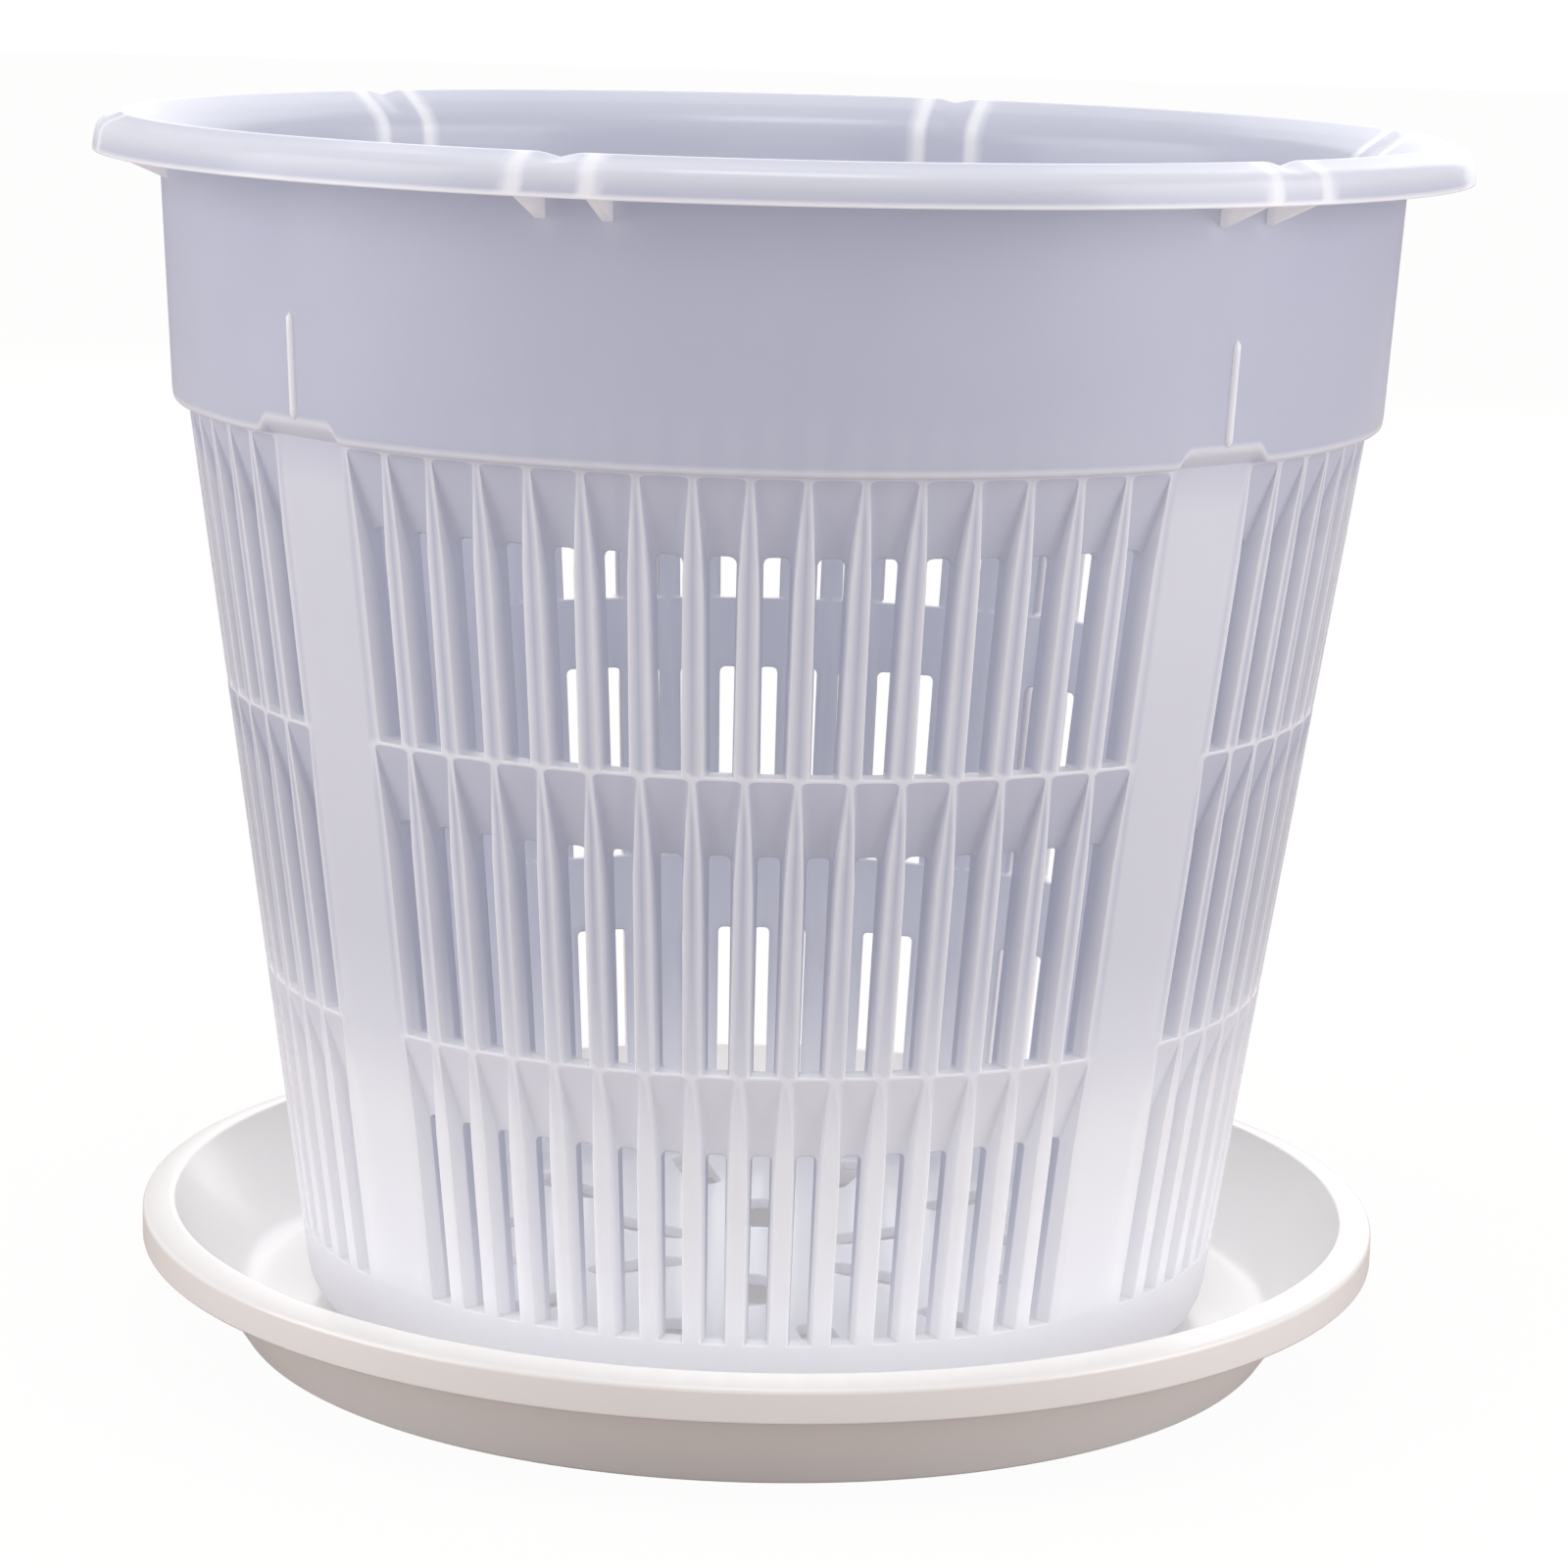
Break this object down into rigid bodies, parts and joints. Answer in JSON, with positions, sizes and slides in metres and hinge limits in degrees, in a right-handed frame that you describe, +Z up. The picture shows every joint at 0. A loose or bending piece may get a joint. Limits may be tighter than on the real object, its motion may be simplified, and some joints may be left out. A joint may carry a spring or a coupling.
{
  "type": "slotted orchid pot with saucer",
  "caption": "Round tapering orchid pot with tiers of tall air slots, a plain collar and a rolled rim, standing in a shallow drip saucer.",
  "frame": {"origin": "centre of the saucer's foot, on the surface that it stands on", "axes": "+Z up along the common axis of pot and saucer, -Y towards the front as pictured, +X to the right"},
  "size_m": [0.1636, 0.1636, 0.1477],
  "materials": {
    "pot_plastic": "milky translucent polypropylene, satin to glossy",
    "saucer_plastic": "white polypropylene, satin"
  },
  "bodies": {
    "saucer": {"saucer": "saucer_plastic"},
    "pot": {"slotted_pot": "pot_plastic"}
  },
  "joints": [
    {"name": "pot_lift", "type": "slide", "parent": "saucer", "child": "pot", "axis": [0, 0, 1], "range_m": [0, 0.06]}
  ]
}
